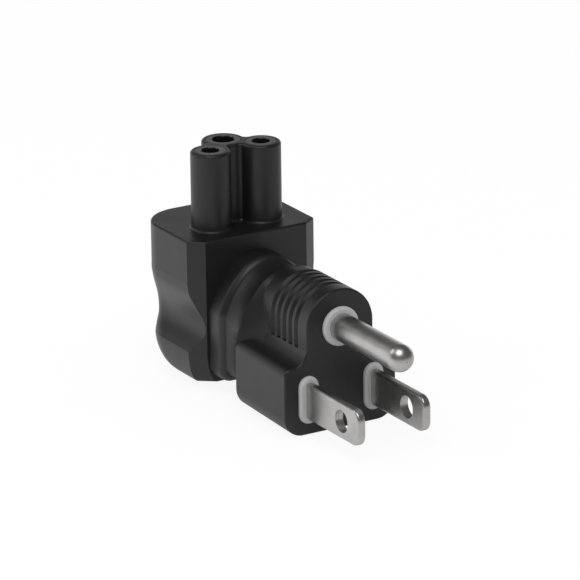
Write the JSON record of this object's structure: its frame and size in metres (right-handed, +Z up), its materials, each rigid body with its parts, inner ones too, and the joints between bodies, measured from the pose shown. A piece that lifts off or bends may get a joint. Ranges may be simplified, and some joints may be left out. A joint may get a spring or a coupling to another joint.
{
  "type": "right angle plug adapter",
  "caption": "Right-angle adapter: a moulded body joins a grounded flat-blade wall plug to an upright trefoil connector for an appliance inlet.",
  "frame": {"origin": "on the plug's face, midway between the two blades", "axes": "+X across the plug, from the neutral blade to the line blade; the blades point to -Y; +Z up along the connector's sockets"},
  "size_m": [0.0252, 0.0683, 0.0408],
  "materials": {
    "overmould": "black soft PVC, satin",
    "bridge": "light grey PBT, satin",
    "insert": "black PBT, satin",
    "plated_pins": "nickel plated, polished",
    "contacts": "tin plated spring bronze",
    "conductor": "bare stranded copper",
    "insulation_white": "white PVC",
    "insulation_black": "black PVC",
    "insulation_green": "green PVC",
    "inner_mould": "natural polypropylene"
  },
  "bodies": {
    "root": {"overmould_housing": "overmould", "plug_bridge": "bridge", "blade_neutral": "plated_pins", "blade_line": "plated_pins", "ground_pin": "plated_pins", "c5_insert": "insert", "contact_neutral": "contacts", "contact_line": "contacts", "contact_earth": "contacts", "conductor_neutral": "conductor", "conductor_line": "conductor", "conductor_earth": "conductor", "insulation_neutral": "insulation_white", "insulation_line": "insulation_black", "insulation_earth": "insulation_green", "inner_mould": "inner_mould"}
  },
  "joints": []
}
